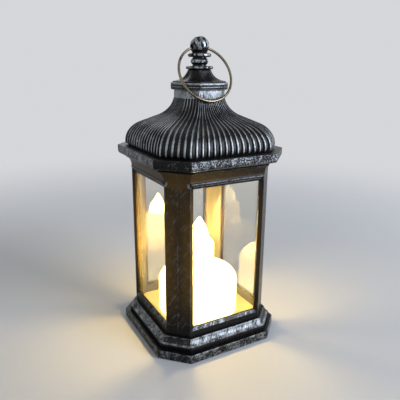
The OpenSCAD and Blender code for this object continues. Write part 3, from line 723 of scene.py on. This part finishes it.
def crown_piece(name, node, share, paint, **wear):
    """A CAD node above the roof, with worn edges and silver by its share."""
    bm = worn_copy(node, **wear)
    brush_over(bm, share)
    even_shading(new_piece(name, bm, "lantern", [paint], [node]))


crown_piece("stepped_collar", "collar_plate", collar_share, collar_paint, rounding=0.25, grid=2.0,
            sharp=20)
crown_piece("turned_finial", "finial", finial_share, finial_paint, rounding=0.2, grid=1.6)


def ring_piece():
    """A ring of round wire, leaning forward from the eye in the ball."""
    upright = Matrix.Rotation(math.pi / 2, 4, "X")
    bm = bmesh.new()
    bmesh.ops.create_circle(bm, segments=20, radius=WIRE_R * MM)
    bmesh.ops.rotate(bm, verts=bm.verts, cent=(0, 0, 0), matrix=upright.to_3x3())
    bmesh.ops.translate(bm, verts=bm.verts, vec=(RING_R * MM, 0, 0))
    bmesh.ops.spin(bm, geom=bm.verts[:] + bm.edges[:], cent=(0, 0, 0), axis=(0, 0, 1),
                   angle=math.tau, steps=120, use_merge=True)
    bmesh.ops.remove_doubles(bm, verts=bm.verts, dist=1e-6)
    place = (Matrix.Translation((0, 0, EYE_Z * MM))
             @ Matrix.Rotation(math.radians(-RING_LEAN), 4, "X")
             @ Matrix.Translation((0, 0, (EYE_SAG - RING_R) * MM)) @ upright)
    bmesh.ops.transform(bm, matrix=place, verts=bm.verts)
    face_out(bm)
    shade_smooth(bm)
    new_piece("wire_ring", bm, "ring", [ring_brass], ["hanging_ring"])


ring_piece()


# ---------------------------------------------------------------- candle

def candle_piece():
    """The candle's shell: upright wall, round shoulder, and a top that slopes up to the cup."""
    crown = math.radians(CANDLE_CROWN)
    shoulder_hw = CANDLE_R - CANDLE_ROUND_R
    shoulder_z = (CANDLE_Z - (shoulder_hw - CUP_R) * math.tan(crown)
                  - CANDLE_ROUND_R / math.cos(crown))
    mouth_r = CUP_R - 3
    outside = [(CANDLE_R, DECK_Z), (CANDLE_R, DECK_Z + 12)]
    outside += arc(shoulder_hw, shoulder_z, CANDLE_ROUND_R, 0, 90 - CANDLE_CROWN, 20)
    outside += [(CUP_R, CANDLE_Z), (mouth_r, CANDLE_Z)]
    inside = [(mouth_r, CANDLE_Z - CANDLE_WALL),
              (CUP_R, CANDLE_Z - CANDLE_WALL / math.cos(crown))]
    inside += arc(shoulder_hw, shoulder_z, CANDLE_ROUND_R - CANDLE_WALL, 90 - CANDLE_CROWN, 0, 12)
    inside += [(CANDLE_R - CANDLE_WALL, DECK_Z), (CANDLE_R, DECK_Z)]
    bm = lathe(outside + inside, steps=96)
    shade_smooth(bm, sharp_angle=40)
    new_piece("pillar_candle", bm, "lantern", [candle_glow], ["candle_shell"])


def flame_piece():
    """The flame: a belly on the cup, a waist and a tip, which leans a little as moulded ones
    do."""
    tip_lean = 1.1
    waist = (5.6, FLAME_Z - 8.6)
    profile = bend((FLAME_R, CUP_Z), (FLAME_R - 1.2, CUP_Z + 8.4), waist, 12)
    profile += bend(waist, (3.4, FLAME_Z - 4.4), (0, FLAME_Z), 10)[1:]
    bm = lathe(profile, steps=64)
    bmesh.ops.edgeloop_fill(bm, edges=[e for e in bm.edges if e.is_boundary])
    for v in bm.verts:
        rise = max(0.0, (v.co.z / MM - CUP_Z) / (FLAME_Z - CUP_Z))
        v.co.x += tip_lean * MM * rise * rise
    face_out(bm)
    shade_smooth(bm, sharp_angle=60)
    new_piece("moulded_flame", bm, "lantern", [flame_glow], ["flame_lens"])


def cup_piece():
    """The cup under the flame: upright, with a rounded rim and a seat for the flame's foot."""
    profile = [(CUP_R, CANDLE_Z)]
    profile += bend((CUP_R - 0.1, CUP_Z - 5.5), (CUP_R - 0.5, CUP_Z - 0.8),
                    (FLAME_R + 0.2, CUP_Z), 10)
    profile += [(6, CUP_Z), (6, CUP_Z - 1.6), (9, CUP_Z - 1.6), (CUP_R - 1.8, CUP_Z - 6),
                (CUP_R - 1.6, CANDLE_Z), (CUP_R, CANDLE_Z)]
    bm = lathe(profile, steps=72)
    shade_smooth(bm, sharp_angle=40)
    new_piece("flame_cup_shell", bm, "lantern", [cup_glow], ["flame_cup"])


candle_piece()
flame_piece()
cup_piece()


# ---------------------------------------------------------------- what stays as the CAD made it

finish_node(deck_abs, "inner_deck")
finish_node(base_abs, "base_plate", "battery_door", "battery_tray", "switch_housing")
finish_node(bright_zinc, "finial_screw", "base_screws", "contact_springs", "contact_plates")
finish_node(bare_abs("white switch knob", "#d9d9d6", "#e6e6e3"), "switch_slider")
finish_node(bare_abs("green solder mask on glass fibre", "#1f5a33", "#27693d", smoothest=0.25,
                     roughest=0.35), "led_board")
finish_node(bare_abs("black lead insulation", "#17171a", "#232326"), "led_leads")
finish_node(bare_abs("printed cell wrapper, plain", "#8c8d90", "#a3a4a6", smoothest=0.25,
                     roughest=0.35), "battery_cells")
finish_node(glowing("epoxy LED lens, lit", "#fff3dc", "#fff0cc", strength=12.0, rough=0.1,
                    grain=2), "led")


# ---------------------------------------------------------------- floor, light and camera

BACKDROP = "#dfe1e5"
BACKDROP_LEVEL = 0.9


def stage_floor():
    """A pale floor, 12 m wide, that fades into the backdrop from 0.25 to 0.9 m from the
    lantern."""
    bm = bmesh.new()
    bmesh.ops.create_grid(bm, x_segments=1, y_segments=1, size=6)
    mesh = bpy.data.meshes.new("floor")
    bm.to_mesh(mesh)
    bm.free()
    floor = bpy.data.objects.new("floor", mesh)
    scene.collection.objects.link(floor)
    material, tree = new_material("pale table")
    place = add(tree, "TexCoord").outputs["Object"]
    away = add(tree, "VectorMath", {0: place}, operation="LENGTH")
    far = add(tree, "MapRange", {"Value": away, "From Min": 0.25, "From Max": 0.9},
              interpolation_type="SMOOTHSTEP")
    near = add(tree, "BsdfPrincipled", {"Base Color": colour("#b9bbbe"), "Roughness": 0.55,
                                        "Specular IOR Level": 0.3})
    haze = add(tree, "Emission", {"Color": colour(BACKDROP), "Strength": BACKDROP_LEVEL})
    mix = add(tree, "MixShader", {0: far, 1: near, 2: haze})
    add(tree, "OutputMaterial", {"Surface": mix})
    mesh.materials.append(material)


def pale_room():
    """Plain soft light, with a pale backdrop for the camera and for what mirrors it."""
    world = bpy.data.worlds.new("pale room")
    scene.world = world
    world.use_nodes = True
    tree = world.node_tree
    tree.nodes.clear()
    ray = add(tree, "LightPath")
    seen = add(tree, "Math", {0: ray.outputs["Is Camera Ray"], 1: ray.outputs["Is Glossy Ray"]},
               operation="MAXIMUM")
    seen = add(tree, "Math", {0: seen, 1: ray.outputs["Is Transmission Ray"]},
               operation="MAXIMUM")
    lighting = add(tree, "Background", {"Color": colour("#dfe6ee"), "Strength": 0.35})
    backdrop = add(tree, "Background", {"Color": colour(BACKDROP),
                                        "Strength": BACKDROP_LEVEL})
    mix = add(tree, "MixShader", {0: seen, 1: lighting, 2: backdrop})
    add(tree, "OutputWorld", {"Surface": mix})


def hang_lamp(name, kind, place, watts, tint):
    """A lamp of that kind, at a place in metres."""
    light = bpy.data.lights.new(name, kind)
    light.energy = watts
    light.color = colour(tint)[:3]
    lamp = bpy.data.objects.new(name, light)
    scene.collection.objects.link(lamp)
    lamp.location = place
    return lamp


def softbox(name, place, aim, size, watts, tint):
    """A soft, rectangular lamp that faces its aim."""
    lamp = hang_lamp(name, "AREA", place, watts, tint)
    lamp.data.shape = "RECTANGLE"
    lamp.data.size, lamp.data.size_y = size
    lamp.rotation_mode = "QUATERNION"
    lamp.rotation_quaternion = (Vector(aim) - Vector(place)).to_track_quat("-Z", "Y")


def candlelight(place):
    """The candle's own glow on the walls around it and, through the panes, on the table. The
    camera and the mirror images in the panes see only the candle itself."""
    lamp = hang_lamp("candlelight", "POINT", place, 0.28, "#ffdf98")
    lamp.data.shadow_soft_size = 6 * MM
    lamp.visible_camera = lamp.visible_glossy = lamp.visible_transmission = False


def aim_camera():
    """The camera stands where the photograph was taken from, 0.41 m from the lantern's middle,
    and turns a little from it: pan is about its upright, tilt about its level axis, and roll
    about its line of sight, in degrees."""
    lantern_middle = Vector((0, 0, 0.143))
    azimuth, elevation, away = math.radians(-28.99), math.radians(14.26), 0.4094
    sensor_mm, picture_px, focal_px = 36, 400, 445.87
    back = Vector((math.sin(azimuth) * math.cos(elevation),
                   -math.cos(azimuth) * math.cos(elevation), math.sin(elevation)))
    forward = -back
    right = forward.cross(UP).normalized()
    above = right.cross(forward)
    pan, tilt, roll = (math.radians(a) for a in (-0.18, -2.47, -0.37))
    forward, right = (Matrix.Rotation(pan, 3, above) @ v for v in (forward, right))
    forward, above = (Matrix.Rotation(tilt, 3, right) @ v for v in (forward, above))
    right, above = (Matrix.Rotation(roll, 3, forward) @ v for v in (right, above))
    camera = bpy.data.objects.new("camera", bpy.data.cameras.new("camera"))
    scene.collection.objects.link(camera)
    camera.data.sensor_width = sensor_mm
    camera.data.lens = sensor_mm * focal_px / picture_px
    camera.data.clip_start = 0.01
    turn = Matrix((right, above, -forward)).transposed()
    camera.matrix_world = Matrix.Translation(lantern_middle + back * away) @ turn.to_4x4()
    scene.camera = camera


stage_floor()
pale_room()
softbox("key", place=(0.88, -1.4, 0.6), aim=(0, 0, 0.2), size=(0.9, 1.2), watts=42, tint="#eef4ff")
softbox("side", place=(1.6, 0.1, 0.7), aim=(0, 0, 0.15), size=(0.5, 0.9), watts=6, tint="#eef4ff")
softbox("fill", place=(-1.5, -0.7, 0.9), aim=(0, 0, 0.12), size=(1.2, 1.2), watts=5, tint="#fbf3e2")
softbox("back", place=(0.4, 1.4, 1.1), aim=(0, 0, 0.15), size=(1.0, 1.0), watts=5, tint="#ffffff")
# Around the cup, just under the flame, and clear of both
for x, y in ((20, 20), (20, -20), (-20, 20), (-20, -20)):
    candlelight((x * MM, y * MM, 84 * MM))
aim_camera()
